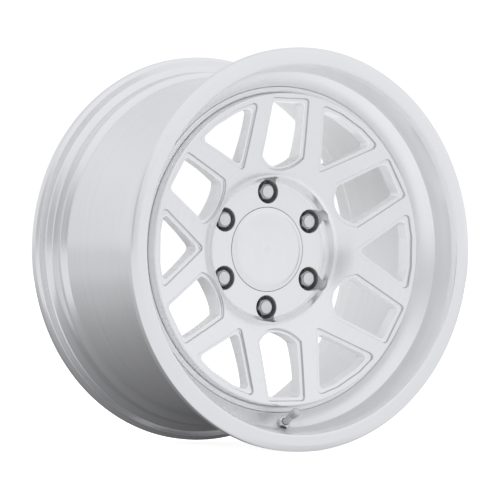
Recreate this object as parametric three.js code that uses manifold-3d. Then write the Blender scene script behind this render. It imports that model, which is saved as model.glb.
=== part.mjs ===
// Forged 17 x 8.5 inch wheel rim, 6 studs on a 139.7 mm circle.
// Millimetres, +Z up. The wheel axis is Y and the outer face looks toward -Y.
// The origin is the centre of the hub mounting face, half way between the tyre flanges.
import * as THREE from 'three';
import { mergeVertices } from 'three/addons/utils/BufferGeometryUtils.js';
import Module from 'manifold-3d';

const wasm = await Module();
wasm.setup();

// ---------------------------------------------------------------- dimensions
const SEGMENTS = 48;            // facets round the wheel axis
const FACE_OFFSET = 122.5;      // outer lip face to hub mounting face
const OVERALL_WIDTH = 246;      // outer lip face to inner flange face
const FRONT_LIP_R = 240;
const REAR_FLANGE_R = 238;
const BEAD_SEAT_R = 218.3;      // 436.6 mm bead seat diameter
const PILOT_R = 53.1;           // hub bore, 106.2 mm
const CAP_BORE_R = 51.2;        // recess the centre cap sits in
const CAP_LIP_R = 48.8;         // lip that the cap snaps behind
const PAD_DEPTH = 86.4;         // lip face to the lug pad
const STUD_CIRCLE_R = 139.7 / 2;
const STUD_COUNT = 6;
const WELL_R = 14.2;            // lug wells
const SCALLOP_R = 18.3;         // room for the socket, cut in the wall of the hub recess
const STUD_HOLE_R = 7.6;
const SEAT_TOP = 104.6;         // conical nut seat, depth of its wide end
const SEAT_END = 111.2;         // and of its narrow end
const LEDGE_IN = 4.5;           // window border: width of the ledge
const LEDGE_DOWN = 3.5;         // and its depth below the spoke face
const GAP = 0.3;                // clearance between separate pieces

// depth (from the lip face) of the dished spoke face by radius
const DISH = [[88.6, 69.2], [94, 65.2], [102, 60.5], [114, 55.6], [140, 48.4], [186.2, 38]];

// valve: a hole in the conical ring at 6 o'clock, leaning out of the wheel
const VALVE_R = 208.6;          // radius at which the axis meets the spot face
const VALVE_DEPTH = 40.2;       // depth of that point behind the lip face
const VALVE_LEAN = 29;          // degrees from the wheel axis, toward the hub
const VALVE_TURN = -1.2;        // degrees round the wheel from 6 o'clock
const VALVE_HOLE_R = 5.75;
const RIM_AT_VALVE = 6.5;       // wall left between the two spot faces

// ---------------------------------------------------------------- helpers
const DEG = Math.PI / 180;
const y = (depth) => depth - FACE_OFFSET;

function solidOf(geometry) {
  let g = geometry.clone();
  for (const name of Object.keys(g.attributes)) if (name !== 'position') g.deleteAttribute(name);
  if (!g.index) g.setIndex([...Array(g.attributes.position.count).keys()]);
  g = mergeVertices(g, 1e-4);
  const p = g.attributes.position.array;
  const tris = [];
  let volume = 0;
  for (let i = 0; i < g.index.count; i += 3) {
    const [a, b, c] = [g.index.array[i], g.index.array[i + 1], g.index.array[i + 2]];
    if (a === b || b === c || c === a) continue;
    tris.push(a, b, c);
    const A = new THREE.Vector3().fromArray(p, a * 3), B = new THREE.Vector3().fromArray(p, b * 3), C = new THREE.Vector3().fromArray(p, c * 3);
    volume += A.dot(B.cross(C)) / 6;
  }
  if (volume < 0) for (let i = 0; i < tris.length; i += 3) [tris[i], tris[i + 1]] = [tris[i + 1], tris[i]];
  return new wasm.Manifold(new wasm.Mesh({ numProp: 3, vertProperties: new Float32Array(p), triVerts: new Uint32Array(tris) }));
}

function geometryOf(solid) {
  const m = solid.getMesh();
  const g = new THREE.BufferGeometry();
  g.setAttribute('position', new THREE.BufferAttribute(new Float32Array(m.vertProperties), 3));
  g.setIndex(new THREE.BufferAttribute(new Uint32Array(m.triVerts), 1));
  g.computeVertexNormals();
  return g;
}

// a closed (radius, height) outline turned about Y
function turned(outline, segments = SEGMENTS, start = 0) {
  const pts = [...outline, outline[0]].map(([r, h]) => new THREE.Vector2(r, h));
  return solidOf(new THREE.LatheGeometry(pts, segments, start, Math.PI * 2));
}

// a flat outline in (a, b) pushed along the third axis
function pushed(points, length) {
  return solidOf(new THREE.ExtrudeGeometry(new THREE.Shape(points.map(([a, b]) => new THREE.Vector2(a, b))), { depth: length, bevelEnabled: false, steps: 1 }));
}

// an outline given in the wheel's (X, Z) plane, cut between two depths
function prismThroughWheel(points, d0, d1) {
  const s = pushed(points, d1 - d0);
  // shape (a, b) -> (X, Z); extrusion direction -> Y
  const m = new THREE.Matrix4().makeBasis(new THREE.Vector3(1, 0, 0), new THREE.Vector3(0, 0, 1), new THREE.Vector3(0, -1, 0));
  m.setPosition(0, y(d1), 0);
  return s.transform(m.elements);
}

function placed(solid, matrix) { return solid.transform(matrix.elements); }

function hexPrism(acrossFlats, h0, h1, turn = 0) {
  const R = acrossFlats / 2 / Math.cos(Math.PI / 6);
  return turned([[0, h0], [R, h0], [R, h1], [0, h1]], 6, turn);
}

// window outline corners rounded with short arcs
function rounded(points, radii, steps = 2) {
  const out = [];
  const n = points.length;
  for (let i = 0; i < n; i++) {
    const P = new THREE.Vector2(...points[i]), A = new THREE.Vector2(...points[(i + n - 1) % n]), B = new THREE.Vector2(...points[(i + 1) % n]);
    const r = radii[i];
    if (!r) { out.push([P.x, P.y]); continue; }
    const u = A.clone().sub(P).normalize(), v = B.clone().sub(P).normalize();
    const half = Math.acos(THREE.MathUtils.clamp(u.dot(v), -1, 1)) / 2;
    const t = Math.min(r / Math.tan(half), A.distanceTo(P) * 0.45, B.distanceTo(P) * 0.45);
    const rr = t * Math.tan(half);
    const centre = u.clone().add(v).normalize().multiplyScalar(rr / Math.sin(half)).add(P);
    const s = P.clone().addScaledVector(u, t).sub(centre), e = P.clone().addScaledVector(v, t).sub(centre);
    let a0 = s.angle(), a1 = e.angle();
    while (a1 - a0 > Math.PI) a1 -= 2 * Math.PI;
    while (a0 - a1 > Math.PI) a1 += 2 * Math.PI;
    for (let k = 0; k <= steps; k++) {
      const a = a0 + (a1 - a0) * k / steps;
      out.push([centre.x + rr * Math.cos(a), centre.y + rr * Math.sin(a)]);
    }
  }
  return out;
}

// outline moved inward by a distance (mitred)
function inset(points, d) {
  const n = points.length;
  let area = 0;
  for (let i = 0; i < n; i++) { const [a, b] = points[i], [c, e] = points[(i + 1) % n]; area += a * e - b * c; }
  const s = area > 0 ? 1 : -1;
  return points.map((p, i) => {
    const P = new THREE.Vector2(...p), A = new THREE.Vector2(...points[(i + n - 1) % n]), B = new THREE.Vector2(...points[(i + 1) % n]);
    const u = P.clone().sub(A).normalize(), v = B.clone().sub(P).normalize();
    const nu = new THREE.Vector2(-u.y, u.x).multiplyScalar(s), nv = new THREE.Vector2(-v.y, v.x).multiplyScalar(s);
    const m = nu.clone().add(nv).normalize();
    const k = d / Math.max(0.35, m.dot(nu));
    return [P.x + m.x * k, P.y + m.y * k];
  });
}

// local window frame (u along the radius at angle alpha, v across it) to wheel (X, Z)
function toWheel(points, alpha) {
  const c = Math.cos(alpha), s = Math.sin(alpha);
  return points.map(([u, v]) => [u * c + v * s, u * s - v * c]);
}

const metal = (color, roughness, metalness = 1) => new THREE.MeshStandardMaterial({ color, roughness, metalness });
const group = new THREE.Group();
function add(parent, name, solid, material) {
  const mesh = new THREE.Mesh(geometryOf(solid), material);
  mesh.name = name;
  parent.add(mesh);
  return mesh;
}

// ---------------------------------------------------------------- rim barrel
const barrelOutline = [
  // outer lip: rounded outer corner, then the tyre side of the flange
  [232.2, 0], [237.6, 1.6], [FRONT_LIP_R, 5.4], [FRONT_LIP_R, 11.5], [236, 15], [226, 15], [219, 22],
  // outer bead seat, safety hump, front wall of the drop centre
  [217.9, 35], [218.7, 38.5], [217, 42.5], [203.6, 58], [202, 62],
  // drop centre, ramp and inner ledge
  [202, 100], [211.6, 201],
  // inner hump, bead seat and flange
  [218.7, 207.5], [217.8, 212], [219, 224], [226, 231], [234, 231], [REAR_FLANGE_R, 235.6],
  [REAR_FLANGE_R, 242], [234, OVERALL_WIDTH], [219, OVERALL_WIDTH], [215.4, 242.4],
  // bore of the barrel, back to front
  [212, 214], [205.2, 203], [195.6, 102], [195.6, 52.4],
  // conical ring, inner wall of the lip and its rounded edge
  [196.4, 51], [212.4, 35.9], [216.6, 7.5], [220.8, 0],
].map(([r, d]) => [r, y(d)]);

// valve frame: +Y of the local frame runs out of the wheel along the stem
const valveTurn = new THREE.Matrix4().makeRotationY(-VALVE_TURN * DEG);
const stemDir = new THREE.Vector3(0, -Math.cos(VALVE_LEAN * DEG), Math.sin(VALVE_LEAN * DEG));
const stemX = new THREE.Vector3(1, 0, 0);
const stemZ = new THREE.Vector3().crossVectors(stemX, stemDir);
const valveFrame = new THREE.Matrix4().makeBasis(stemX, stemDir, stemZ).setPosition(0, y(VALVE_DEPTH), -VALVE_R).premultiply(valveTurn);

let barrel = turned(barrelOutline);
barrel = barrel
  .subtract(placed(turned([[0, 0], [9.4, 0], [9.4, 14], [0, 14]], 24), valveFrame))
  .subtract(placed(turned([[0, -RIM_AT_VALVE - 14], [10.6, -RIM_AT_VALVE - 14], [10.6, -RIM_AT_VALVE], [0, -RIM_AT_VALVE]], 24), valveFrame))
  .subtract(placed(turned([[0, -12], [VALVE_HOLE_R, -12], [VALVE_HOLE_R, 4], [0, 4]], 24), valveFrame));
add(group, 'rim_barrel', barrel, metal(0xdfe0e2, 0.28));

// ---------------------------------------------------------------- forged centre
const backOfSpokes = [[195.2, 72], [185, 72], [179, 61.6], [152, 66], [116, 82], [96, 100], [87, 117], [83.4, 122.5]];
const centreOutline = [
  // cap recess, snap lip and hub bore
  [CAP_BORE_R, 92.2], [CAP_LIP_R, 92.2], [CAP_LIP_R, 96], [PILOT_R, 99], [PILOT_R, 121], [54.6, 122.5],
  ...[...backOfSpokes].reverse(),
  // outer rim, groove wall and the proud outer ring of the spoke face
  [195.2, 56], [188.2, 56], [187, 39.2], ...[...DISH].reverse(),
  // wall of the hub recess and the lug pad
  [87.2, 71.2], [85, 82.4], [81.4, PAD_DEPTH], [CAP_BORE_R, PAD_DEPTH],
].map(([r, d]) => [r, y(d)]);
let centre = turned(centreOutline);

// everything that lies deeper than the window ledges
const ledgeOutline = [[60, 200], [60, 100], ...DISH.map(([r, d]) => [r, d + LEDGE_DOWN]), [200, 35 + LEDGE_DOWN], [200, 200]].map(([r, d]) => [r, y(d)]);
const belowLedge = turned(ledgeOutline);

// U windows in line with the studs
const arcU = [];
for (let k = 0; k <= 6; k++) { const a = -54 + 108 * k / 6; arcU.push([132.6 - 38 * Math.cos(a * DEG), 38 * Math.sin(a * DEG)]); }
const uCorners = [[181.2, 26.3], [110.4, 31], ...arcU.slice(1, -1).reverse(), [110.4, -31], [181.2, -26.3]];
const uRound = (outer, inner) => [outer, inner, ...Array(arcU.length - 2).fill(0), inner, outer];
// pointed windows between them
const vCorners = [[174.6, 48.2], [107.2, 0], [174.6, -48.2], [180.2, -18], [180.2, 18]];
const vRound = (outer, tip) => [outer, tip, outer, 0, 0];

for (let k = 0; k < 6; k++) {
  for (const [edge, opening, angle] of [
    [rounded(uCorners, uRound(5, 3)), rounded(inset(uCorners, LEDGE_IN), uRound(5, 3)), 30 + 60 * k],
    [rounded(vCorners, vRound(5, 4)), rounded(inset(vCorners, LEDGE_IN), vRound(5, 5)), 60 * k],
  ]) {
    const a = angle * DEG;
    centre = centre
      .subtract(prismThroughWheel(toWheel(edge, a), 20, 110).subtract(belowLedge))
      .subtract(prismThroughWheel(toWheel(opening, a), 20, 140));
  }
}

// lug wells, conical seats and stud holes
const wellOutline = [[0, 20], [SCALLOP_R, 20], [SCALLOP_R, PAD_DEPTH - 0.3], [WELL_R, PAD_DEPTH - 0.3], [WELL_R, SEAT_TOP], [STUD_HOLE_R + 3.9, SEAT_TOP], [STUD_HOLE_R, SEAT_END], [STUD_HOLE_R, 130], [0, 130]].map(([r, d]) => [r, y(d)]);
const well = turned(wellOutline, 18);
const studAt = (k) => { const a = (30 + 60 * k) * DEG; return [STUD_CIRCLE_R * Math.cos(a), STUD_CIRCLE_R * Math.sin(a)]; };
for (let k = 0; k < STUD_COUNT; k++) {
  const [X, Z] = studAt(k);
  centre = centre.subtract(well.translate([X, 0, Z]));
}
add(group, 'forged_centre', centre, metal(0xe2e3e6, 0.3));

// ---------------------------------------------------------------- weld beads
add(group, 'front_weld_bead', turned([[188.6, 55.6], [188.2, 52.2], [190.4, 50.9], [193, 50.9], [195.2, 52.4], [195.2, 55.6]].map(([r, d]) => [r, y(d)])), metal(0xc9cbce, 0.45));
add(group, 'rear_weld_bead', turned([[188.4, 72.4], [195.2, 72.4], [195.2, 79.2], [193.4, 77.6], [189.4, 73.8]].map(([r, d]) => [r, y(d)])), metal(0xc2c4c7, 0.5));

// ---------------------------------------------------------------- lug nuts
const nutShape = (() => {
  const outer = [[0, 86.6], [7.7, 86.6], [11.2, 90.2], [11.2, 101.4], [12.2, 102.2], [12.2, 104], [11.1, 104.3], [7.4, 110.6], [6.9, 110.6], [6.9, 92], [0, 91]].map(([r, d]) => [r, y(d)]);
  const body = turned(outer, 18);
  // the top is hexagonal, the bulged seat below it is round
  return body.subtract(turned([[10.97, y(80)], [17, y(80)], [17, y(101)], [10.97, y(101)]], 6));
})();
for (let k = 0; k < STUD_COUNT; k++) {
  const [X, Z] = studAt(k);
  const mesh = add(group, `lug_nut_${k + 1}`, nutShape, metal(0x9da0a4, 0.18));
  mesh.position.set(X, 0, Z);
}

// ---------------------------------------------------------------- centre cap
const capOutline = [
  [0, 85.4], [44, 84.7], [46.4, 86], [50.8, 86.3], [50.8, 91.4], [48.2, 91.8], [48.2, 97.2], [47.2, 97.6], [47.2, 100.4], [48.2, 100.8], [48.2, 104.6], [45, 106.6], [45, 92.4], [0, 88.6],
].map(([r, d]) => [r, y(d)]);
add(group, 'centre_cap', turned(capOutline, 36), metal(0xd9dadd, 0.25));

// spring wire in the cap's groove, open on one side so that it can close up
class RingPath extends THREE.Curve {
  constructor(radius, gap, height) { super(); this.radius = radius; this.gap = gap; this.height = height; }
  getPoint(t, target = new THREE.Vector3()) {
    const a = this.gap + t * (Math.PI * 2 - 2 * this.gap);
    return target.set(this.radius * Math.sin(a), this.height, this.radius * Math.cos(a));
  }
}
const wire = new THREE.Shape();
for (let k = 0; k < 6; k++) wire[k ? 'lineTo' : 'moveTo'](0.5 * Math.cos(k * Math.PI / 3), 0.5 * Math.sin(k * Math.PI / 3));
add(group, 'cap_retaining_ring', solidOf(new THREE.ExtrudeGeometry(wire, { steps: 36, bevelEnabled: false, extrudePath: new RingPath(48.02, 4 * DEG, y(99)) })), metal(0x8e9094, 0.3));

// ---------------------------------------------------------------- tyre valve
const valve = new THREE.Group();
valve.applyMatrix4(valveFrame);
group.add(valve);
// heights along the stem, zero on the outer spot face
add(valve, 'valve_stem_body', turned([
  [1.5, -11.6], [3.4, -11.6], [8.6, -10.8], [8.6, -8.8], [4.15, -8.2], [4.15, 22], [3.85, 22.6], [3.85, 30.4], [2.6, 30.4], [2.6, 20.6], [1.9, 19.4], [1.9, 10.6], [1.5, 10],
], 16), metal(0x7d8084, 0.3));
add(valve, 'valve_grommet', turned([[4.5, -7.8], [8.8, -8.2], [9.2, -6.8], [5.4, -6.8], [5.4, -0.6], [4.5, -0.6]], 16), metal(0x1b1b1c, 0.85, 0));
add(valve, 'valve_washer', turned([[4.5, 0.3], [8, 0.3], [8, 1.5], [4.5, 1.5]], 20), metal(0x8b8e92, 0.3));
add(valve, 'valve_nut', hexPrism(14, 1.8, 7.6).subtract(turned([[0, 0], [4.5, 0], [4.5, 10], [0, 10]], 16)), metal(0x8b8e92, 0.28));
add(valve, 'valve_core_body', turned([[0.95, 24.4], [2.25, 24.4], [2.25, 29.6], [0.95, 29.6]], 12), metal(0xb79a55, 0.35));
add(valve, 'valve_core_seal', turned([[0.95, 20.9], [1.9, 20.9], [2.25, 21.8], [2.25, 24.1], [0.95, 24.1]], 12), metal(0xb23a2e, 0.6, 0));
add(valve, 'valve_core_pin', turned([[0, 9.6], [0.55, 9.6], [0.55, 12.6], [0.62, 30.2], [0, 30.2]], 10), metal(0xb79a55, 0.35));
add(valve, 'valve_core_poppet_seal', turned([[0.85, 12.9], [1.6, 12.9], [1.6, 14.3], [0.85, 14.3]], 10), metal(0x202021, 0.8, 0));
class Helix extends THREE.Curve {
  constructor(radius, h0, h1, turns) { super(); Object.assign(this, { radius, h0, h1, turns }); }
  getPoint(t, target = new THREE.Vector3()) {
    const a = t * this.turns * Math.PI * 2;
    return target.set(this.radius * Math.sin(a), this.h0 + (this.h1 - this.h0) * t, this.radius * Math.cos(a));
  }
}
const coilWire = new THREE.Shape();
for (let k = 0; k < 5; k++) coilWire[k ? 'lineTo' : 'moveTo'](0.2 * Math.cos(k * Math.PI * 0.4), 0.2 * Math.sin(k * Math.PI * 0.4));
add(valve, 'valve_core_spring', solidOf(new THREE.ExtrudeGeometry(coilWire, { steps: 40, bevelEnabled: false, extrudePath: new Helix(1.2, 14.9, 20.3, 5) })), metal(0x9a9ca0, 0.3));
const ribs = [];
for (let k = 0; k < 32; k++) { const r = k % 2 ? 4.9 : 5.25, a = k * Math.PI / 16; ribs.push([r * Math.cos(a), r * Math.sin(a)]); }
const ribbed = placed(pushed(ribs, 10.2), new THREE.Matrix4().makeRotationX(-Math.PI / 2).setPosition(0, 23.6, 0));
add(valve, 'valve_cap', turned([[4.2, 23], [4.7, 23], [4.7, 33.2], [4.2, 35.6], [0, 36], [0, 33], [4.2, 32.8]], 24).add(ribbed.subtract(turned([[0, 20], [4.2, 20], [4.2, 32.9], [0, 32.9]], 24))), metal(0x6c6f73, 0.35));
add(valve, 'valve_cap_gasket', turned([[1.4, 30.9], [3.8, 30.9], [3.8, 32.4], [1.4, 32.4]], 16), metal(0x1b1b1c, 0.85, 0));

export default group;
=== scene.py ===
import math
import bpy
import bmesh
from mathutils import Matrix, Vector
from mathutils.geometry import delaunay_2d_cdt


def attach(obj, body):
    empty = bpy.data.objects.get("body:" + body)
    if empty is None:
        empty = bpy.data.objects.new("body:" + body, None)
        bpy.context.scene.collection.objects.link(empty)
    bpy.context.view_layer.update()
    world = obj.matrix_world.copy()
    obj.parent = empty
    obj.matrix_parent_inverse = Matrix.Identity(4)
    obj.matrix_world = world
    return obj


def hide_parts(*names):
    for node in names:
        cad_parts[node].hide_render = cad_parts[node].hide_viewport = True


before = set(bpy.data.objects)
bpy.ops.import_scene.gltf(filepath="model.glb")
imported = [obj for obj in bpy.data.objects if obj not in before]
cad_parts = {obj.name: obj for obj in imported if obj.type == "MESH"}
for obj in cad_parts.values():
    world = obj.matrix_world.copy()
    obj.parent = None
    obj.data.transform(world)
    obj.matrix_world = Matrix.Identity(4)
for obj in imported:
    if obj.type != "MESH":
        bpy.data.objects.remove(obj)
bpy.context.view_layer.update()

# ------------------------------------------------------------------ numbers
# millimetres until the last step; d is the depth behind the outer lip face, r the radius from the wheel's axis
MM = 0.001
FACE_OFFSET = 122.5
SEG = 288
STUD_R = 139.7 / 2
DISH = [(84, 73.2), (88.6, 69.2), (92, 66.6), (100, 61.6), (110, 57), (130, 51), (150, 46), (170, 41.3), (182, 38.7), (190, 36.9)]
BACK = [(83.4, 122.5), (87, 117), (96, 100), (105, 90), (116, 82), (134, 72.6), (152, 66), (166, 63), (179, 61.6)]
FACE_IN, FACE_OUT = 90.0, 185.0
BACK_IN, BACK_OUT = 96.0, 180.4


def Y(d):
    return d - FACE_OFFSET


def curve_value(points):
    """smooth monotone curve through (x, y) points"""
    xs = [p[0] for p in points]
    ys = [p[1] for p in points]
    n = len(xs)
    h = [xs[i + 1] - xs[i] for i in range(n - 1)]
    s = [(ys[i + 1] - ys[i]) / h[i] for i in range(n - 1)]
    m = [s[0]] + [0.0] * (n - 2) + [s[-1]]
    for i in range(1, n - 1):
        if s[i - 1] * s[i] > 0:
            w1, w2 = 2 * h[i] + h[i - 1], h[i] + 2 * h[i - 1]
            m[i] = (w1 + w2) / (w1 / s[i - 1] + w2 / s[i])

    def f(x):
        x = min(max(x, xs[0]), xs[-1])
        i = 0
        while i < n - 2 and x > xs[i + 1]:
            i += 1
        t = (x - xs[i]) / h[i]
        return ((1 + 2 * t) * (1 - t) ** 2 * ys[i] + t * (1 - t) ** 2 * h[i] * m[i]
                + t * t * (3 - 2 * t) * ys[i + 1] + t * t * (t - 1) * h[i] * m[i + 1])
    return f


dish, back = curve_value(DISH), curve_value(BACK)


# ------------------------------------------------------------------ mesh helpers
def filleted(points, closed=True, step=11.0):
    """(r, d, fillet radius) corners -> outline with round corners"""
    out = []
    n = len(points)
    for i, p in enumerate(points):
        rad = p[2] if len(p) > 2 else 0
        if not rad or (not closed and i in (0, n - 1)):
            out.append((p[0], p[1]))
            continue
        P, A, B = Vector(p[:2]), Vector(points[i - 1][:2]), Vector(points[(i + 1) % n][:2])
        u, v = (A - P).normalized(), (B - P).normalized()
        half = math.acos(max(-1, min(1, u.dot(v)))) / 2
        if half > math.radians(88.5):
            out.append((p[0], p[1]))
            continue
        t = min(rad / math.tan(half), (A - P).length * 0.48, (B - P).length * 0.48)
        rr = t * math.tan(half)
        c = P + (u + v).normalized() * (rr / math.sin(half))
        a0 = math.atan2((P + u * t - c).y, (P + u * t - c).x)
        a1 = math.atan2((P + v * t - c).y, (P + v * t - c).x)
        while a1 - a0 > math.pi:
            a1 -= 2 * math.pi
        while a0 - a1 > math.pi:
            a1 += 2 * math.pi
        k = max(2, int(abs(math.degrees(a1 - a0)) / step) + 1)
        for j in range(k + 1):
            a = a0 + (a1 - a0) * j / k
            out.append((c.x + rr * math.cos(a), c.y + rr * math.sin(a)))
    return out


def ring_strip(bm, rows, closed=True, mat=0, segments=SEG, wrap=True):
    """rows: list of lists of vertices with the same count, joined by quads"""
    n = len(rows)
    for i in range(n if closed else n - 1):
        a, b = rows[i], rows[(i + 1) % n]
        m = mat[i] if isinstance(mat, (list, tuple)) else mat
        for j in range(len(a) if wrap else len(a) - 1):
            k = (j + 1) % len(a)
            vs = [a[j], a[k], b[k], b[j]]
            vs = [v for q, v in enumerate(vs) if v not in vs[:q]]
            if len(vs) > 2:
                try:
                    f = bm.faces.new(vs)
                    f.material_index = m
                except ValueError:
                    pass


def lathe_rows(bm, profile, segments=SEG, place=None):
    rows = []
    for r, d in profile:
        if r < 1e-6:
            v = bm.verts.new((0, d * MM, 0))
            rows.append([v] * segments)
            continue
        row = []
        for j in range(segments):
            a = 2 * math.pi * j / segments
            row.append(bm.verts.new((r * MM * math.cos(a), d * MM, r * MM * math.sin(a))))
        rows.append(row)
    return rows


def finish_mesh(bm, name, materials, body, nodes, place=None, sharp=32.0, weld=1e-7):
    bmesh.ops.remove_doubles(bm, verts=bm.verts, dist=weld)
    bmesh.ops.recalc_face_normals(bm, faces=bm.faces)
    if place is not None:
        bm.transform(place)
    me = bpy.data.meshes.new(name)
    bm.to_mesh(me)
    bm.free()
    return finish_object(me, name, materials, body, nodes, sharp)


def finish_object(me, name, materials, body, nodes, sharp=32.0):
    for m in materials:
        if m.name not in [q.name for q in me.materials if q]:
            me.materials.append(m)
    for p in me.polygons:
        p.use_smooth = True
    me.set_sharp_from_angle(angle=math.radians(sharp))
    o = bpy.data.objects.new(name, me)
    bpy.context.scene.collection.objects.link(o)
    if body:
        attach(o, body)
    if nodes:
        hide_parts(*nodes)
    return o


def turned(profile, segments=SEG, mats=0):
    """closed lathe as a bmesh; profile heights are already along the axis"""
    bm = bmesh.new()
    ring_strip(bm, lathe_rows(bm, profile, segments), True, mats, segments)
    return bm


def outward(bm):
    """one closed body with its faces looking outward"""
    bmesh.ops.remove_doubles(bm, verts=bm.verts, dist=1e-7)
    bmesh.ops.recalc_face_normals(bm, faces=bm.faces)
    if bm.calc_volume(signed=True) < 0:
        bmesh.ops.reverse_faces(bm, faces=bm.faces)


def cut(target_me, cutter_bm, materials):
    """target mesh minus the closed cutter, as a new mesh"""
    cme = bpy.data.meshes.new("cutter")
    cutter_bm.to_mesh(cme)
    cutter_bm.free()
    for m in materials:
        cme.materials.append(m)
    a = bpy.data.objects.new("cut_target", target_me)
    b = bpy.data.objects.new("cut_tool", cme)
    for o in (a, b):
        bpy.context.scene.collection.objects.link(o)
    mod = a.modifiers.new("cut", "BOOLEAN")
    mod.operation, mod.solver, mod.object = "DIFFERENCE", "EXACT", b
    bpy.context.view_layer.update()
    dg = bpy.context.evaluated_depsgraph_get()
    out = bpy.data.meshes.new_from_object(a.evaluated_get(dg))
    for o in (a, b):
        bpy.data.objects.remove(o)
    return out


# ------------------------------------------------------------------ materials
def nodes_of(name):
    m = bpy.data.materials.new(name)
    m.use_nodes = True
    nt = m.node_tree
    nt.nodes.clear()
    out = nt.nodes.new("ShaderNodeOutputMaterial")
    p = nt.nodes.new("ShaderNodeBsdfPrincipled")
    nt.links.new(p.outputs[0], out.inputs[0])
    return m, nt, p


def math_node(nt, op, a, b=None):
    n = nt.nodes.new("ShaderNodeMath")
    n.operation = op
    for i, v in enumerate((a, b)):
        if v is None:
            continue
        if isinstance(v, (int, float)):
            n.inputs[i].default_value = v
        else:
            nt.links.new(v, n.inputs[i])
    return n.outputs[0]


def noise(nt, vec, scale, detail=2.0, rough=0.5, dims="3D"):
    n = nt.nodes.new("ShaderNodeTexNoise")
    n.noise_dimensions = dims
    n.inputs["Scale"].default_value = scale
    n.inputs["Detail"].default_value = detail
    n.inputs["Roughness"].default_value = rough
    nt.links.new(vec, n.inputs["Vector"])
    return n.outputs["Fac"]


def remap(nt, v, a, b, c, d):
    n = nt.nodes.new("ShaderNodeMapRange")
    for k, x in zip(("From Min", "From Max", "To Min", "To Max"), (a, b, c, d)):
        n.inputs[k].default_value = x
    nt.links.new(v, n.inputs["Value"])
    return n.outputs[0]


def coords(nt, turned_about_y=True):
    t = nt.nodes.new("ShaderNodeTexCoord")
    s = nt.nodes.new("ShaderNodeSeparateXYZ")
    nt.links.new(t.outputs["Object"], s.inputs[0])
    r = math_node(nt, "SQRT", math_node(nt, "ADD", math_node(nt, "MULTIPLY", s.outputs[0], s.outputs[0]), math_node(nt, "MULTIPLY", s.outputs[2], s.outputs[2])))
    c = nt.nodes.new("ShaderNodeCombineXYZ")
    nt.links.new(r, c.inputs[0])
    nt.links.new(s.outputs[1], c.inputs[1])
    return t.outputs["Object"], c.outputs[0], s, r


def metal(name, colour, rough, aniso=0.0, ring=0.0, grain=0.0, cloud=0.03, tone=0.03, ring_scale=180.0, fine_scale=900.0, bump=0.12, metallic=1.0):
    """machined metal: turning marks that follow the wheel's rings, fine grain, soft clouds in the finish"""
    m, nt, p = nodes_of(name)
    obj, rings, sep, rad = coords(nt)
    broad = noise(nt, rings, ring_scale, 3.0, 0.6, "2D")
    fine = noise(nt, rings, fine_scale, 2.0, 0.6, "2D")
    clouds = noise(nt, obj, 14.0, 3.0, 0.55)
    speck = noise(nt, obj, 650.0, 2.0, 0.5)
    mixed = math_node(nt, "ADD", math_node(nt, "MULTIPLY", broad, 0.55), math_node(nt, "MULTIPLY", clouds, 0.45))
    ramp = nt.nodes.new("ShaderNodeValToRGB")
    ramp.color_ramp.elements[0].position, ramp.color_ramp.elements[1].position = 0.3, 0.7
    ramp.color_ramp.elements[0].color = (*[max(0, c * (1 - tone)) for c in colour], 1)
    ramp.color_ramp.elements[1].color = (*[min(1, c * (1 + tone)) for c in colour], 1)
    nt.links.new(mixed, ramp.inputs[0])
    nt.links.new(ramp.outputs[0], p.inputs["Base Color"])
    p.inputs["Metallic"].default_value = metallic
    rg = math_node(nt, "ADD", remap(nt, clouds, 0.3, 0.7, rough - cloud, rough + cloud), remap(nt, broad, 0.3, 0.7, -ring, ring))
    nt.links.new(math_node(nt, "ADD", rg, remap(nt, speck, 0.3, 0.7, -grain, grain)), p.inputs["Roughness"])
    if aniso:
        p.inputs["Anisotropic"].default_value = aniso
        t = nt.nodes.new("ShaderNodeTangent")
        t.direction_type, t.axis = "RADIAL", "Y"
        nt.links.new(t.outputs[0], p.inputs["Tangent"])
    if bump:
        b = nt.nodes.new("ShaderNodeBump")
        b.inputs["Strength"].default_value = bump
        b.inputs["Distance"].default_value = 0.00003
        h = math_node(nt, "ADD", math_node(nt, "MULTIPLY", fine, 0.7 if ring or aniso else 0.2), math_node(nt, "MULTIPLY", speck, 0.3 if ring or aniso else 0.8))
        nt.links.new(h, b.inputs["Height"])
        nt.links.new(b.outputs[0], p.inputs["Normal"])
    return m


def rubber(name, colour, rough):
    m, nt, p = nodes_of(name)
    obj, rings, sep, rad = coords(nt)
    n = noise(nt, obj, 900.0, 4.0, 0.6)
    ramp = nt.nodes.new("ShaderNodeValToRGB")
    ramp.color_ramp.elements[0].color = (*[c * 0.7 for c in colour], 1)
    ramp.color_ramp.elements[1].color = (*[min(1, c * 1.4) for c in colour], 1)
    nt.links.new(n, ramp.inputs[0])
    nt.links.new(ramp.outputs[0], p.inputs["Base Color"])
    nt.links.new(remap(nt, n, 0.3, 0.7, rough - 0.08, rough + 0.08), p.inputs["Roughness"])
    b = nt.nodes.new("ShaderNodeBump")
    b.inputs["Strength"].default_value = 0.3
    b.inputs["Distance"].default_value = 0.0001
    nt.links.new(n, b.inputs["Height"])
    nt.links.new(b.outputs[0], p.inputs["Normal"])
    return m


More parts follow.
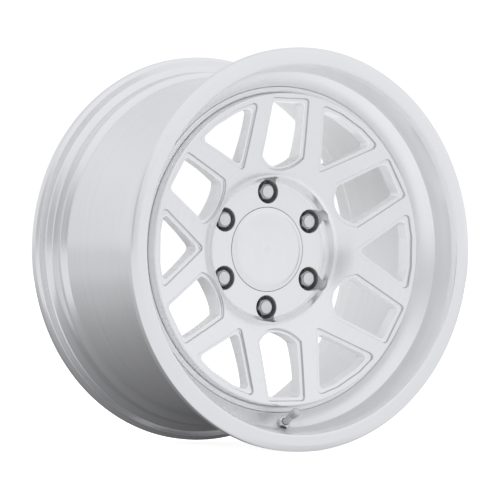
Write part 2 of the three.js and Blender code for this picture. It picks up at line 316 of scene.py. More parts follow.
M_BARREL = metal("barrel_turned", (0.87, 0.872, 0.882), 0.20, aniso=0.3, ring=0.03, cloud=0.02, tone=0.02, bump=0.10)
M_FACE = metal("face_turned", (0.88, 0.882, 0.892), 0.19, aniso=0.4, ring=0.04, cloud=0.03, tone=0.02, bump=0.12)
M_MILLED = metal("window_milled", (0.9, 0.902, 0.908), 0.34, ring=0.0, grain=0.02, cloud=0.04, tone=0.03, bump=0.02, metallic=0.35)
M_STEP = metal("window_step", (0.66, 0.665, 0.675), 0.33, ring=0.0, grain=0.02, cloud=0.03, tone=0.03, bump=0.03)
M_RING = metal("ring_turned", (0.90, 0.902, 0.91), 0.29, aniso=0.3, ring=0.0, cloud=0.02, tone=0.02, bump=0, metallic=0.76)
M_BACK = metal("back_forged", (0.885, 0.887, 0.893), 0.46, ring=0.01, grain=0.03, cloud=0.05, tone=0.03, bump=0.06, metallic=0.48)
M_FORGED = metal("centre_back_forged", (0.78, 0.783, 0.792), 0.36, aniso=0.2, ring=0.02, grain=0.02, cloud=0.05, tone=0.04, bump=0.06, metallic=0.9)
# lug-well bores: the darker base colour is painted shade and painted dark reflection of the deep wells
M_WELL_PAINTED_SHADE = metal("well_bore_painted_shade", (0.5, 0.505, 0.51), 0.36, ring=0.0, grain=0.03, cloud=0.04, tone=0.15, bump=0.05, metallic=0.6)
M_WELD = metal("weld_bead", (0.86, 0.865, 0.875), 0.33, ring=0.02, grain=0.03, cloud=0.05, tone=0.04, bump=0.05, metallic=0.35)
M_CAP = metal("cap_turned", (0.88, 0.882, 0.89), 0.20, aniso=0.4, ring=0.02, cloud=0.05, tone=0.025, bump=0.03)
M_WIRE = metal("spring_wire", (0.5, 0.5, 0.51), 0.25, grain=0.04, bump=0.1)
M_NUT = metal("nut_dark_chrome", (0.42, 0.425, 0.43), 0.28, grain=0.03, cloud=0.03, tone=0.1, bump=0.08, metallic=0.75)
M_NUT_END = metal("nut_end", (0.72, 0.73, 0.74), 0.28, grain=0.05, cloud=0.04, tone=0.06, bump=0.15)
M_STEEL = metal("valve_steel", (0.52, 0.53, 0.54), 0.28, grain=0.05, cloud=0.04, tone=0.08, bump=0.15)
M_STEEL_LT = metal("valve_nut_plated", (0.72, 0.73, 0.735), 0.24, grain=0.05, cloud=0.04, tone=0.06, bump=0.12)
M_VCAP = metal("valve_cap_plated", (0.62, 0.63, 0.635), 0.32, grain=0.06, cloud=0.05, tone=0.1, bump=0.15)
M_BRASS = metal("core_brass", (0.74, 0.56, 0.27), 0.28, grain=0.05, cloud=0.05, tone=0.08, bump=0.12)
M_RUBBER = rubber("rubber_black", (0.022, 0.022, 0.023), 0.62)
M_SEAL = rubber("seal_red", (0.32, 0.05, 0.04), 0.5)


# ------------------------------------------------------------------ windows of the centre
def rounded(points, radii, steps):
    out = []
    n = len(points)
    for i in range(n):
        P, A, B = Vector(points[i]), Vector(points[i - 1]), Vector(points[(i + 1) % n])
        r = radii[i]
        if not r:
            out.append((P.x, P.y))
            continue
        u, v = (A - P).normalized(), (B - P).normalized()
        half = math.acos(max(-1, min(1, u.dot(v)))) / 2
        t = min(r / math.tan(half), (A - P).length * 0.45, (B - P).length * 0.45)
        rr = t * math.tan(half)
        c = P + (u + v).normalized() * (rr / math.sin(half))
        s, e = P + u * t - c, P + v * t - c
        a0, a1 = math.atan2(s.y, s.x), math.atan2(e.y, e.x)
        while a1 - a0 > math.pi:
            a1 -= 2 * math.pi
        while a0 - a1 > math.pi:
            a1 += 2 * math.pi
        for k in range(steps + 1):
            a = a0 + (a1 - a0) * k / steps
            out.append((c.x + rr * math.cos(a), c.y + rr * math.sin(a)))
    return out


def inset(points, d):
    n = len(points)
    area = sum(points[i][0] * points[(i + 1) % n][1] - points[(i + 1) % n][0] * points[i][1] for i in range(n))
    s = 1 if area > 0 else -1
    out = []
    for i in range(n):
        P, A, B = Vector(points[i]), Vector(points[i - 1]), Vector(points[(i + 1) % n])
        u, v = (P - A).normalized(), (B - P).normalized()
        nu, nv = Vector((-u.y, u.x)) * s, Vector((-v.y, v.x)) * s
        m = (nu + nv).normalized()
        k = d / max(0.35, m.dot(nu))
        out.append((P.x + m.x * k, P.y + m.y * k))
    return out


def refine(pts_a, pts_b, longest=3.2):
    """the same extra points on both outlines, so that long straight edges follow the curved face"""
    a, b = [], []
    n = len(pts_a)
    for i in range(n):
        P, Q = Vector(pts_a[i]), Vector(pts_a[(i + 1) % n])
        R, S = Vector(pts_b[i]), Vector(pts_b[(i + 1) % n])
        k = max(1, int(math.ceil((Q - P).length / longest)))
        for j in range(k):
            a.append(tuple(P.lerp(Q, j / k)))
            b.append(tuple(R.lerp(S, j / k)))
    return a, b


U_ARC = [(132.6 - 38 * math.cos(math.radians(-54 + 108 * k / 12)), 38 * math.sin(math.radians(-54 + 108 * k / 12))) for k in range(13)]
U = [(181.2, 26.3), (110.4, 31)] + U_ARC[1:-1][::-1] + [(110.4, -31), (181.2, -26.3)]
V = [(174.6, 48.2), (107.2, 0), (174.6, -48.2), (180.2, -18), (180.2, 18)]
U_E = rounded(U, [5, 3] + [0] * 11 + [3, 5], 6)
U_O = rounded(inset(U, 4.5), [5, 3] + [0] * 11 + [3, 5], 6)
V_E = rounded(V, [5, 4, 5, 0, 0], 6)
V_O = rounded(inset(V, 4.5), [5, 5, 5, 0, 0], 6)
U_E, U_O = refine(U_E, U_O)
V_E, V_O = refine(V_E, V_O)

# (distance into the window, drop below the spoke face) down to the opening's edge
FRONT_LOOPS = [(-1.5, 0.0), (-0.75, 0.02), (-0.35, 0.14), (-0.05, 0.42), (0.12, 0.9), (0.2, 1.6), (0.3, 2.5), (0.5, 3.05), (0.9, 3.4), (1.5, 3.5), (3.6, 3.5), (4.05, 3.58), (4.35, 3.85), (4.5, 4.3)]
# (distance into the window, height above the back of the spoke)
BACK_LOOPS = [(4.95, 2.4), (4.9, 1.4), (4.6, 0.55), (4.0, 0.12), (3.3, 0.0)]


def to_wheel(p, alpha):
    c, s = math.cos(alpha), math.sin(alpha)
    return (p[0] * c + p[1] * s, p[0] * s - p[1] * c)


def between(E, O, o):
    t = o / 4.5
    return [(e[0] + (q[0] - e[0]) * t, e[1] + (q[1] - e[1]) * t) for e, q in zip(E, O)]


def inside(poly, x, z):
    hit = False
    n = len(poly)
    j = n - 1
    for i in range(n):
        xi, zi = poly[i]
        xj, zj = poly[j]
        if (zi > z) != (zj > z) and x < (xj - xi) * (z - zi) / (zj - zi) + xi:
            hit = not hit
        j = i
    return hit


def holed_ring(bm, r0, r1, holes, depth, mat, spacing):
    """a curved ring with holes, as triangles; rings r0 and r1 get SEG points so that lathe rows join them"""
    pts, edges = [], []

    def loop(q):
        k = len(pts)
        pts.extend(Vector(p) for p in q)
        edges.extend((k + i, k + (i + 1) % len(q)) for i in range(len(q)))
    rim = lambda r: [(r * math.cos(2 * math.pi * j / SEG), r * math.sin(2 * math.pi * j / SEG)) for j in range(SEG)]
    loop(rim(r0))
    loop(rim(r1))
    for h in holes:
        loop(h)
    boxes = [(min(p[0] for p in h) - 2, max(p[0] for p in h) + 2, min(p[1] for p in h) - 2, max(p[1] for p in h) + 2) for h in holes]
    r = r0 + spacing
    k = 0
    while r < r1 - spacing * 0.6:
        n = int(2 * math.pi * r / (spacing * 1.25))
        for j in range(n):
            a = 2 * math.pi * (j + 0.5 * (k % 2)) / n
            x, z = r * math.cos(a), r * math.sin(a)
            ok = True
            for h, b in zip(holes, boxes):
                if b[0] < x < b[1] and b[2] < z < b[3]:
                    if inside(h, x, z) or min((x - p[0]) ** 2 + (z - p[1]) ** 2 for p in h) < (spacing * 0.55) ** 2:
                        ok = False
                        break
            if ok:
                pts.append(Vector((x, z)))
        r += spacing
        k += 1
    co, _, faces, *_ = delaunay_2d_cdt(pts, edges, [], 0, 1e-7)
    vs = {}

    def vert(i):
        if i not in vs:
            p = co[i]
            rr = p.length
            vs[i] = bm.verts.new((p.x * MM, Y(depth(rr)) * MM, p.y * MM))
        return vs[i]
    for f in faces:
        c = sum((co[i] for i in f), Vector((0, 0))) / len(f)
        rr = c.length
        if rr < r0 * math.cos(math.pi / SEG) - 1e-4 and not rr > r0 - 0.002:
            continue
        if rr > r1:
            continue
        if rr < r0 - 0.01:
            continue
        bad = False
        for h, b in zip(holes, boxes):
            if b[0] < c.x < b[1] and b[2] < c.y < b[3] and inside(h, c.x, c.y):
                bad = True
                break
        if not bad:
            nf = bm.faces.new([vert(i) for i in f])
            nf.material_index = mat


def build_centre():
    mats = [M_FACE, M_MILLED, M_FORGED, M_WELL_PAINTED_SHADE, M_STEP, M_RING]
    bm = bmesh.new()
    fronts, backs = [], []
    for k in range(6):
        for E, O, angle in ((U_E, U_O, 30 + 60 * k), (V_E, V_O, 60 * k)):
            a = math.radians(angle)
            rows, ms = [], []
            for i, (o, drop) in enumerate(FRONT_LOOPS):
                q = [to_wheel(p, a) for p in between(E, O, o)]
                if i == 0:
                    fronts.append(q)
                rows.append([bm.verts.new((x * MM, Y(dish(math.hypot(x, z)) + drop) * MM, z * MM)) for x, z in q])
                ms.append(4 if 2 <= i <= 6 else 1 if i >= 11 else 0)
            base_f = [to_wheel(p, a) for p in between(E, O, 4.5)]
            base_b = [to_wheel(p, a) for p in between(E, O, 4.95)]
            for t in (0.2, 0.4, 0.6, 0.8):
                row = []
                for (x0, z0), (x1, z1) in zip(base_f, base_b):
                    x, z = x0 + (x1 - x0) * t, z0 + (z1 - z0) * t
                    rr = math.hypot(x, z)
                    d0, d1 = dish(rr) + 4.3, back(rr) - 2.4
                    row.append(bm.verts.new((x * MM, Y(d0 + (d1 - d0) * t) * MM, z * MM)))
                rows.append(row)
                ms.append(1)
            for i, (o, up) in enumerate(BACK_LOOPS):
                q = [to_wheel(p, a) for p in between(E, O, o)]
                if i == len(BACK_LOOPS) - 1:
                    backs.append(q)
                rows.append([bm.verts.new((x * MM, Y(back(math.hypot(x, z)) - up) * MM, z * MM)) for x, z in q])
                ms.append(1 if i < 2 else 2)
            ring_strip(bm, rows, False, ms)
    holed_ring(bm, FACE_IN, FACE_OUT, fronts, dish, 0, 2.6)
    holed_ring(bm, BACK_IN, BACK_OUT, backs, back, 2, 4.0)
    # outer ring: over the proud edge of the spoke face, down the groove wall, round to the back
    outer = [(FACE_OUT, dish(FACE_OUT)), (185.6, dish(185.6)), (186.2, 38.05), (186.7, 38.35), (187.0, 38.9), (187.15, 39.8), (188.1, 54.8), (188.3, 55.9),
             (195.1, 55.9), (195.2, 56.1), (195.2, 71.8), (195.0, 72.1), (185.6, 72.1), (184.4, 71.2), (183.6, 68.8), (182.2, 64.6), (181.5, 62.7), (181.0, 61.85), (BACK_OUT, back(BACK_OUT))]
    outer = [(r, Y(d)) for r, d in outer]
    ring_strip(bm, lathe_rows(bm, outer), False, [0] * 4 + [5] * 5 + [2] * (len(outer) - 9))
    inner = filleted([(BACK_IN, back(BACK_IN)), (93.5, back(93.5)), (91, back(91)), (88.6, back(88.6)), (87, 117, 2), (84.4, 122.5, 1.2), (54.6, 122.5, 0.6), (53.1, 121, 0.6), (53.1, 99, 1.2), (48.8, 96, 0.8), (48.8, 92.2, 0.3), (51.2, 92.2, 0.2),
                      (51.2, 86.4, 0.35), (81.0, 86.4, 3.6), (85.3, 80.6, 8), (87.0, 71.0, 1.6), (FACE_IN, dish(FACE_IN))], closed=False, step=9)
    n_back = next(i for i, p in enumerate(inner) if abs(p[1] - 86.4) < 0.4)
    inner = [(r, Y(d)) for r, d in inner]
    ring_strip(bm, lathe_rows(bm, inner), False, [2 if i < n_back - 1 else 5 if 81.2 < inner[i][0] < 88.5 else 0 for i in range(len(inner))])
    outward(bm)
    print("centre open edges", sum(1 for e in bm.edges if not e.is_manifold), "volume cm3", round(bm.calc_volume(signed=True) * 1e6, 1))
    me = bpy.data.meshes.new("forged_centre_visual")
    bm.to_mesh(me)
    bm.free()
    for m in mats:
        me.materials.append(m)
    # lug wells with a scallop in the recess wall for the socket, conical seats and stud holes
    cb = bmesh.new()
    for k in range(6):
        a = math.radians(30 + 60 * k)
        prof = [(0, 60), (17.8, 60), (17.8, 75), (15.2, 84.8), (14.75, 86.4), (14.2, 86.95), (14.2, 104.0), (13.7, 104.6), (11.7, 104.6), (7.9, 110.8), (7.6, 111.4), (7.6, 130), (0, 130)]
        one = bmesh.new()
        rows = lathe_rows(one, [(r, Y(d)) for r, d in prof], 64)
        # material 3 is the darkened bore, with painted shade
        ring_strip(one, rows, True, [5, 5, 5, 3, 3, 3, 3, 3, 3, 3, 3, 3, 3])
        bmesh.ops.translate(one, verts=one.verts, vec=(STUD_R * MM * math.cos(a), 0, STUD_R * MM * math.sin(a)))
        outward(one)
        tmp = bpy.data.meshes.new("tmp")
        one.to_mesh(tmp)
        one.free()
        cb.from_mesh(tmp)
    me = cut(me, cb, mats)
    me.name = "forged_centre_visual"
    return finish_object(me, "forged_centre_visual", mats, "wheel", ["forged_centre"], 30)


# ------------------------------------------------------------------ valve frame
LEAN, TURN = math.radians(29), math.radians(-1.2)
stem = Vector((0, -math.cos(LEAN), math.sin(LEAN)))
side = Vector((1, 0, 0))
other = side.cross(stem)
VALVE = Matrix(((side.x, stem.x, other.x, 0), (side.y, stem.y, other.y, Y(40.2) * MM), (side.z, stem.z, other.z, -208.6 * MM), (0, 0, 0, 1)))
VALVE = Matrix.Rotation(-TURN, 4, "Y") @ VALVE


def build_barrel():
    mats = [M_BARREL, M_BACK, M_RING]
    prof = filleted([
        (232.4, 0, 0.5), (240.0, 3.2, 3.6), (240, 11.9, 1.6), (237.0, 15, 1.6), (224.5, 15, 5), (218.6, 22.5, 5), (217.8, 35, 3), (218.8, 38.5, 1.6), (217.2, 42.6, 2.5),
        (204.2, 57.4, 5), (202, 63, 8), (202, 100, 300), (211.6, 201.4, 2.2), (218.6, 207.8, 2.2), (217.8, 212.6, 1.4), (219, 224.6, 5), (225.4, 231, 4.5),
        (234.2, 231, 2.4), (238, 234.4, 2.2), (238, 242.6, 2.4), (234.6, 246, 2.4), (219.4, 246, 2.6), (215.2, 241.8, 2.6), (212.2, 214, 10), (205.2, 201.5, 8),
        (195.6, 102, 80), (195.6, 52.2, 0.4), (196.4, 51.2, 0.4), (212.6, 35.9, 0.9), (216.7, 7.6, 4), (219.8, 0.3, 2.2), (222, 0, 1.4)], step=8)
    prof = [(r, Y(d)) for r, d in prof]
    bm = turned(prof, 320)
    outward(bm)
    for f in bm.faces:
        c = f.calc_center_median()
        rr = math.hypot(c.x, c.z) / MM
        d = c.y / MM + FACE_OFFSET
        inward = f.normal.dot(Vector((c.x, 0, c.z))) < 0
        f.material_index = 0 if not inward else 1 if rr < (213.5 if d < 150 else 219.6) and d > 53 else 2 if rr < 219.5 and d < 60 else 0
    me = bpy.data.meshes.new("rim_barrel_visual")
    bm.to_mesh(me)
    bm.free()
    for m in mats:
        me.materials.append(m)
    cb = bmesh.new()
    for prof in ([(0, -30), (10.6, -30), (10.6, -6.9), (10.2, -6.5), (6.1, -6.5), (5.75, -6.2), (5.75, -0.4), (6.1, 0), (9.1, 0), (9.4, 0.3), (9.4, 14), (0, 14)],):
        one = bmesh.new()
        ring_strip(one, lathe_rows(one, prof, 72), True, 0)
        one.transform(VALVE)
        outward(one)
        tmp = bpy.data.meshes.new("tmp")
        one.to_mesh(tmp)
        one.free()
        cb.from_mesh(tmp)
    me = cut(me, cb, mats)
    return finish_object(me, "rim_barrel_visual", mats, "wheel", ["rim_barrel"], 34)


def turned_piece(name, profile, mats, body, node, place=None, segments=SEG, sharp=32, index=None, step=11):
    bm = turned(filleted(profile, step=step), segments, 0)
    o = finish_mesh(bm, name, mats, body, [node], place, sharp)
    if index:
        for p in o.data.polygons:
            p.material_index = index(p)
    return o


def build_welds():
    front = [(188.5, Y(55.5), 0.1), (188.35, Y(52.6), 0.3), (190.2, Y(51.2), 0.8), (191.8, Y(51.55), 0.8), (193.4, Y(51.1), 0.8), (195.1, Y(52.1), 0.3), (195.1, Y(55.5), 0.1)]
    turned_piece("front_weld_bead_visual", front, [M_WELD], "wheel", "front_weld_bead")
    # rear bead: overlapping ripples laid round the joint
    bm = bmesh.new()
    rows = []
    n = 900
    prof = [(188.5, 72.45), (195.15, 72.45), (195.15, 79.0), (193.9, 78.35), (192.5, 77.1), (191.0, 75.7), (189.6, 74.1)]
    for i, (r, d) in enumerate(prof):
        row = []
        for j in range(n):
            a = 2 * math.pi * j / n
            ph = (a * 150 / (2 * math.pi) + (0.25 if i in (4, 5) else 0.0)) % 1
            w = 0.42 * (math.sqrt(max(0, 1 - (2 * ph - 1) ** 2)) - 1) if i >= 3 else 0
            rr, dd = r + w * 0.5, d + w * 0.85
            row.append(bm.verts.new((rr * MM * math.cos(a), Y(dd) * MM, rr * MM * math.sin(a))))
        rows.append(row)
    ring_strip(bm, rows, True, 0)
    finish_mesh(bm, "rear_weld_bead_visual", [M_WELD], "wheel", ["rear_weld_bead"], None, 60)


def build_nuts():
    hexr = lambda a, af: af / 2 / math.cos((a + math.pi / 6) % (math.pi / 3) - math.pi / 6)
    prof = filleted([(0, 86.6), (7.5, 86.6, 0.3), (7.8, 87.5, 0.3), (8.9, 87.9, 0.3), (11.2, 90.4, 0.6), (11.2, 101.0, 0.4), (12.2, 102.1, 0.4), (12.2, 104.1, 0.3), (11.1, 104.4, 0.3), (7.4, 110.6, 0.2), (6.9, 110.6, 0.2), (6.9, 92, 0.6), (0, 91)], closed=False)
    dense = []
    for p, q in zip(prof, prof[1:]):
        k = max(1, int(math.hypot(q[0] - p[0], q[1] - p[1]) / 0.7))
        dense += [(p[0] + (q[0] - p[0]) * j / k, p[1] + (q[1] - p[1]) * j / k) for j in range(k)]
    dense.append(prof[-1])
    for k in range(6):
        bm = bmesh.new()
        rows = []
        seg = 96
        for i, (r, d) in enumerate(dense):
            if r < 1e-6:
                rows.append([bm.verts.new((0, Y(d) * MM, 0))] * seg)
                continue
            row = []
            outside = i < len(dense) * 0.62 and d < 101.2
            for j in range(seg):
                a = 2 * math.pi * j / seg
                h = hexr(a, 19)
                rr = r
                if outside and r > 7.6:
                    g = r - h
                    rr = h + 0.25 - math.sqrt(g * g / 4 + 0.02) + g / 2 - 0.1 if g > -2.0 else r
                    rr = min(rr, r)
                row.append(bm.verts.new((rr * MM * math.cos(a), Y(d) * MM, rr * MM * math.sin(a))))
            rows.append(row)
        ms = [1 if (p[0] < 7.35 and p[1] < 86.9) else 0 for p in dense]
        ring_strip(bm, rows, False, ms)
        a = math.radians(30 + 60 * k)
        place = Matrix.Translation((STUD_R * MM * math.cos(a), 0, STUD_R * MM * math.sin(a))) @ Matrix.Rotation(0.35 * k + 0.2 * (k % 2), 4, "Y")
        finish_mesh(bm, f"lug_nut_{k + 1}_visual", [M_NUT, M_NUT_END], f"nut_{k + 1}", [f"lug_nut_{k + 1}"], place, 34)


def build_cap():
    y = Y
    turned_piece("centre_cap_visual", [
        (0, y(85.5)), (10, y(85.45)), (20, y(85.31)), (30, y(85.08)), (37, y(84.86)), (44.2, y(84.6), 2.2), (46.8, y(85.7), 1.2), (50.7, y(86.25), 0.45), (50.8, y(91.3), 0.2), (48.3, y(91.7), 0.3), (48.2, y(97.2), 0.2), (47.2, y(97.6)), (47.2, y(100.4)), (48.2, y(100.8), 0.2), (48.2, y(104.6), 0.8), (45, y(106.5), 0.3), (45, y(92.6), 1.5), (0, y(88.6))],
        [M_CAP], "cap", "centre_cap")
    # open spring wire
    bm = bmesh.new()
    rows = []
    n = 160
    gap = math.radians(4)
    for i in range(n + 1):
        a = gap + (2 * math.pi - 2 * gap) * i / n
        row = []
        for j in range(12):
            b = 2 * math.pi * j / 12
            rr, dd = 48.02 + 0.48 * math.cos(b), 99 + 0.48 * math.sin(b)
            row.append(bm.verts.new((rr * MM * math.sin(a), Y(dd) * MM, rr * MM * math.cos(a))))
        rows.append(row)
    ring_strip(bm, rows, False, 0)
    bm.faces.new(rows[0])
    bm.faces.new(rows[-1][::-1])
    finish_mesh(bm, "cap_retaining_ring_visual", [M_WIRE], "cap", ["cap_retaining_ring"])


def threaded(name, profile, zones, pitch, depth, mats, body, node, place, seg=72, inner_from=None, lobes=None):
    """a turned piece whose outside carries a helical thread in the given height zones"""
    bm = bmesh.new()
    dense = []
    n = len(profile)
    for i in range(n):
        p, q = profile[i], profile[(i + 1) % n]
        L = math.hypot(q[0] - p[0], q[1] - p[1])
        k = max(1, int(L / 0.14)) if any(lo <= min(p[1], q[1]) and max(p[1], q[1]) <= hi for lo, hi in zones) and abs(p[0] - q[0]) < 0.01 and L > 1 else 1
        dense += [(p[0] + (q[0] - p[0]) * j / k, p[1] + (q[1] - p[1]) * j / k, k > 1) for j in range(k)]
    rows = []
    for r, h, thr in dense:
        if r < 1e-6:
            rows.append([bm.verts.new((0, h * MM, 0))] * seg)
            continue
        row = []
        for j in range(seg):
            a = 2 * math.pi * j / seg
            rr = r
            if thr:
                ph = (h / pitch - a / (2 * math.pi)) % 1
                rr = r - depth * (1 - abs(2 * ph - 1))
            row.append(bm.verts.new((rr * MM * math.cos(a), h * MM, rr * MM * math.sin(a))))
        rows.append(row)
    ring_strip(bm, rows, True, 0)
    return finish_mesh(bm, name, mats, body, [node], place, 50)


def build_valve():
    P = VALVE
    body = "wheel"
    threaded("valve_stem_body_visual", filleted([
        (1.5, -11.6), (3.2, -11.6, 0.3), (8.6, -10.8, 0.5), (8.6, -8.8, 0.4), (4.2, -8.2, 0.2), (4.15, -1), (4.15, 21.8), (3.85, 22.4), (3.85, 23.0), (3.85, 30.0), (3.6, 30.4), (2.6, 30.4), (2.6, 20.6), (1.9, 19.4), (1.9, 10.6), (1.5, 10)]),
        [(-1, 21.8), (23.0, 30.0)], 0.8, 0.35, [M_STEEL], body, "valve_stem_body", P)
    turned_piece("valve_grommet_visual", [(4.5, -7.8, 0.2), (8.8, -8.2, 0.6), (9.2, -6.8, 0.1), (5.4, -6.8, 0.3), (5.4, -0.6, 0.2), (4.5, -0.6, 0.2)], [M_RUBBER], body, "valve_grommet", P, 64)
    turned_piece("valve_washer_visual", [(4.5, 0.3, 0.1), (8, 0.3, 0.3), (8, 1.5, 0.3), (4.5, 1.5, 0.1)], [M_STEEL_LT], body, "valve_washer", P, 72)
    # hexagon nut with chamfered corners and a plain bore
    bm = bmesh.new()
    rows = []
    seg = 96
    prof = [(4.5, 1.8), (6.5, 1.8), (7.75, 2.3), (8.0, 2.5), (8.0, 6.9), (7.75, 7.1), (6.5, 7.6), (5.1, 7.6), (4.5, 7.2)]
    for r, h in prof:
        row = []
        for j in range(seg):
            a = 2 * math.pi * j / seg
            hx = 7.0 / math.cos((a + math.pi / 6) % (math.pi / 3) - math.pi / 6)
            row.append(bm.verts.new((min(r, hx) * MM * math.cos(a), h * MM, min(r, hx) * MM * math.sin(a))))
        rows.append(row)
    ring_strip(bm, rows, True, 0)
    finish_mesh(bm, "valve_nut_visual", [M_STEEL_LT], body, ["valve_nut"], P, 24)
    turned_piece("valve_core_body_visual", [(0.95, 24.4, 0.1), (2.25, 24.4, 0.1), (2.25, 29.5, 0.2), (0.95, 29.6, 0.1)], [M_BRASS], body, "valve_core_body", P, 40)
    turned_piece("valve_core_seal_visual", [(0.95, 20.9, 0.1), (1.9, 20.9, 0.2), (2.25, 21.8, 0.4), (2.25, 24.1, 0.2), (0.95, 24.1, 0.1)], [M_SEAL], body, "valve_core_seal", P, 40)
    turned_piece("valve_core_pin_visual", [(0, 9.6), (0.45, 9.6, 0.1), (0.55, 9.9), (0.55, 12.6), (0.62, 13.2), (0.62, 29.9), (0.4, 30.2), (0, 30.2)], [M_BRASS], "valve_plunger", "valve_core_pin", P, 32)
    turned_piece("valve_core_poppet_seal_visual", [(0.85, 12.9, 0.1), (1.6, 12.9, 0.2), (1.6, 14.3, 0.2), (0.85, 14.3, 0.1)], [M_RUBBER], "valve_plunger", "valve_core_poppet_seal", P, 40)
    # coil spring
    bm = bmesh.new()
    rows = []
    n = 220
    for i in range(n + 1):
        t = i / n
        a = t * 5 * 2 * math.pi
        c = Vector((1.2 * math.sin(a), 14.9 + 5.4 * t, 1.2 * math.cos(a)))
        tan = Vector((1.2 * math.cos(a) * 5 * 2 * math.pi, 5.4, -1.2 * math.sin(a) * 5 * 2 * math.pi)).normalized()
        nrm = Vector((math.sin(a), 0, math.cos(a)))
        bi = tan.cross(nrm).normalized()
        rows.append([bm.verts.new((c + (nrm * math.cos(b) + bi * math.sin(b)) * 0.19) * MM) for b in [2 * math.pi * j / 10 for j in range(10)]])
    ring_strip(bm, rows, False, 0)
    bm.faces.new(rows[0])
    bm.faces.new(rows[-1][::-1])
    finish_mesh(bm, "valve_core_spring_visual", [M_WIRE], body, ["valve_core_spring"], P)
    # dust cap: ribbed grip, plain collar at the mouth, domed end
    bm = bmesh.new()
    rows = []
    seg = 192
    prof = [(4.2, 23.0), (4.5, 23.0), (4.75, 23.2), (4.75, 23.9), (5.2, 24.2), (5.25, 24.5), (5.25, 32.9), (5.2, 33.3), (4.85, 33.7), (4.75, 34.0), (4.7, 34.5), (4.45, 35.2), (3.9, 35.7), (2.6, 35.95), (0, 36), (0, 33), (4.0, 32.9), (4.2, 32.7)]
    for i, (r, h) in enumerate(prof):
        if r < 1e-6:
            rows.append([bm.verts.new((0, h * MM, 0))] * seg)
            continue
        row = []
        for j in range(seg):
            a = 2 * math.pi * j / seg
            rr = r
            if 4 <= i <= 7:
                rr = r - 0.42 * (0.5 - 0.5 * math.cos(a * 32)) ** 1.5
            row.append(bm.verts.new((rr * MM * math.cos(a), h * MM, rr * MM * math.sin(a))))
        rows.append(row)
    ring_strip(bm, rows, True, 0)
    finish_mesh(bm, "valve_cap_visual", [M_VCAP], "valve_dust_cap", ["valve_cap"], P, 40)
    turned_piece("valve_cap_gasket_visual", [(1.4, 30.9, 0.2), (3.8, 30.9, 0.2), (3.8, 32.4, 0.2), (1.4, 32.4, 0.2)], [M_RUBBER], "valve_dust_cap", "valve_cap_gasket", P, 48)


build_centre()
build_barrel()
build_welds()
build_nuts()
build_cap()
build_valve()


# ------------------------------------------------------------------ floor
def plane(name, size, z):
    bm = bmesh.new()
    for x, y in ((-size, -size), (size, -size), (size, size), (-size, size)):
        bm.verts.new((x, y, z))
    bm.faces.new(bm.verts)
    me = bpy.data.meshes.new(name)
    bm.to_mesh(me)
    bm.free()
    o = bpy.data.objects.new(name, me)
    bpy.context.scene.collection.objects.link(o)
    return o


floor = plane("floor", 30, -0.2402)
fm, nt, p = nodes_of("pale_floor")
p.inputs["Base Color"].default_value = (0.9, 0.9, 0.9, 1)
p.inputs["Roughness"].default_value = 0.9
p.inputs["Specular IOR Level"].default_value = 0.0
p.inputs["Emission Color"].default_value = (1, 1, 1, 1)
p.inputs["Emission Strength"].default_value = 0.8
floor.data.materials.append(fm)
floor.visible_glossy = False

# a card on the studio floor, seen only in reflections: pale, with a painted shadow of the wheel, darkest just beside
# the wheel and toward its back
card = plane("floor_reflection_painted_shadow_card", 30, -0.2404)
card.visible_camera = card.visible_diffuse = card.visible_shadow = False
cm = bpy.data.materials.new("card")
cm.use_nodes = True
nt = cm.node_tree
nt.nodes.clear()
out = nt.nodes.new("ShaderNodeOutputMaterial")
em = nt.nodes.new("ShaderNodeEmission")
nt.links.new(em.outputs[0], out.inputs[0])
tc = nt.nodes.new("ShaderNodeTexCoord")
sp = nt.nodes.new("ShaderNodeSeparateXYZ")
nt.links.new(tc.outputs["Object"], sp.inputs[0])
ramp = nt.nodes.new("ShaderNodeValToRGB")
# painted shadow: the glow runs across x, darkest (0.10) at the wheel and brightening away from it
painted_shadow_stops = ((-0.9, 0.66), (-0.43, 0.48), (-0.28, 0.35), (-0.196, 0.27), (-0.14, 0.215), (-0.086, 0.17), (-0.04, 0.135), (0.02, 0.10), (0.12, 0.16), (0.3, 0.8))
while len(ramp.color_ramp.elements) < len(painted_shadow_stops):
    ramp.color_ramp.elements.new(0.5)
for e, (xx, v) in zip(ramp.color_ramp.elements, painted_shadow_stops):
    e.position = (xx + 0.9) / 1.2
    e.color = (v, v, v, 1)
nt.links.new(remap(nt, sp.outputs[0], -0.9, 0.3, 0.0, 1.0), ramp.inputs[0])
# the painted shadow applies toward the back of the wheel; in front the card glows a flat 0.84
painted_shadow_mask = nt.nodes.new("ShaderNodeMapRange")
painted_shadow_mask.interpolation_type = "SMOOTHSTEP"
painted_shadow_mask.inputs["From Min"].default_value, painted_shadow_mask.inputs["From Max"].default_value = -0.15, -0.06
nt.links.new(sp.outputs[1], painted_shadow_mask.inputs["Value"])
blend = nt.nodes.new("ShaderNodeMix")
blend.data_type = "FLOAT"
nt.links.new(painted_shadow_mask.outputs[0], blend.inputs[0])
nt.links.new(ramp.outputs[0], blend.inputs[3])
blend.inputs[2].default_value = 0.84
painted_shadow_glow = blend.outputs[0]
nt.links.new(painted_shadow_glow, em.inputs[1])
em.inputs[0].default_value = (0.985, 0.99, 1.01, 1)
card.data.materials.append(cm)
cm.cycles.emission_sampling = "NONE"

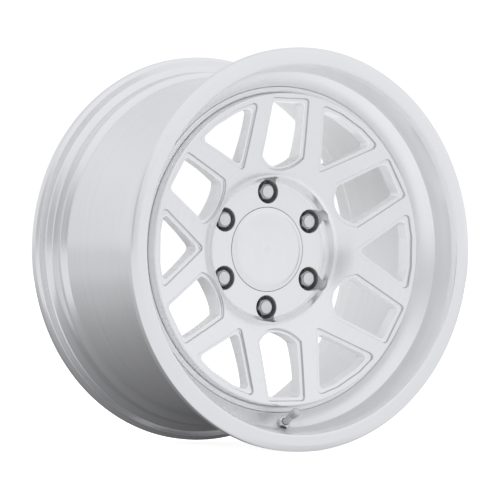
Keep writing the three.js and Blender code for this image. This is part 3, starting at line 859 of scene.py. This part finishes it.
# ------------------------------------------------------------------ soft studio light
world = bpy.data.worlds.new("studio")
bpy.context.scene.world = world
world.use_nodes = True
nt = world.node_tree
nt.nodes.clear()
out = nt.nodes.new("ShaderNodeOutputWorld")
bg = nt.nodes.new("ShaderNodeBackground")
white = nt.nodes.new("ShaderNodeBackground")
white.inputs[0].default_value = (1, 1, 1, 1)
white.inputs[1].default_value = 1.05
lp = nt.nodes.new("ShaderNodeLightPath")
mix = nt.nodes.new("ShaderNodeMixShader")
nt.links.new(lp.outputs["Is Camera Ray"], mix.inputs[0])
nt.links.new(bg.outputs[0], mix.inputs[1])
nt.links.new(white.outputs[0], mix.inputs[2])
nt.links.new(mix.outputs[0], out.inputs[0])
tc = nt.nodes.new("ShaderNodeTexCoord")


def direction(az, el):
    a, e = math.radians(az), math.radians(el)
    return (math.sin(a) * math.cos(e), -math.cos(a) * math.cos(e), math.sin(e))


def lobe(az, el, inner, outer, amount):
    """amount added where the direction is within inner..outer degrees of (az, el)"""
    d = nt.nodes.new("ShaderNodeVectorMath")
    d.operation = "DOT_PRODUCT"
    nt.links.new(tc.outputs["Generated"], d.inputs[0])
    d.inputs[1].default_value = direction(az, el)
    mr = nt.nodes.new("ShaderNodeMapRange")
    mr.interpolation_type = "SMOOTHSTEP"
    mr.inputs["From Min"].default_value = math.cos(math.radians(outer))
    mr.inputs["From Max"].default_value = math.cos(math.radians(inner))
    mr.inputs["To Min"].default_value = 0.0
    mr.inputs["To Max"].default_value = amount
    nt.links.new(d.outputs["Value"], mr.inputs["Value"])
    return mr.outputs[0]


total = None
BASE = 0.90
for L in ((-105, -5, 22, 78, -0.14), (-46, 0, 16, 40, -0.29), (4, 0, 5, 32, -0.06), (159, 32, 6, 46, -0.13)):
    v = lobe(*L)
    total = v if total is None else math_node(nt, "ADD", total, v)
total = math_node(nt, "ADD", total, BASE)
total = math_node(nt, "MAXIMUM", total, 0.04)
col = nt.nodes.new("ShaderNodeCombineColor")
nt.links.new(math_node(nt, "MULTIPLY", total, 0.985), col.inputs[0])
nt.links.new(math_node(nt, "MULTIPLY", total, 0.99), col.inputs[1])
nt.links.new(math_node(nt, "MULTIPLY", total, 1.01), col.inputs[2])
nt.links.new(col.outputs[0], bg.inputs[0])
bg.inputs[1].default_value = 1.0

# ------------------------------------------------------------------ camera
TH, EL, ROLL = math.radians(32.52), math.radians(-0.18), math.radians(0.85)
DIST, F_PX, CX, CY = 3.932, 0.8436 * 3932, 306.79, 249.77
fw = Vector((math.sin(TH) * math.cos(EL), math.cos(TH) * math.cos(EL), -math.sin(EL)))
rt = Vector((math.cos(TH), -math.sin(TH), 0))
up = rt.cross(fw)
rt, up = rt * math.cos(ROLL) + up * math.sin(ROLL), up * math.cos(ROLL) - rt * math.sin(ROLL)
lip = Vector((0, Y(0) * MM, 0))
pos = lip - fw * DIST - rt * ((CX - 250) / F_PX * DIST) - up * ((250 - CY) / F_PX * DIST)
cam_data = bpy.data.cameras.new("camera")
cam_data.lens = F_PX * 36 / 500
cam_data.sensor_width = 36
cam_data.clip_start, cam_data.clip_end = 0.1, 100
cam = bpy.data.objects.new("camera", cam_data)
bpy.context.scene.collection.objects.link(cam)
cam.matrix_world = Matrix(((rt.x, up.x, -fw.x, pos.x), (rt.y, up.y, -fw.y, pos.y), (rt.z, up.z, -fw.z, pos.z), (0, 0, 0, 1)))
bpy.context.scene.camera = cam
bpy.context.scene.view_settings.view_transform = "Standard"
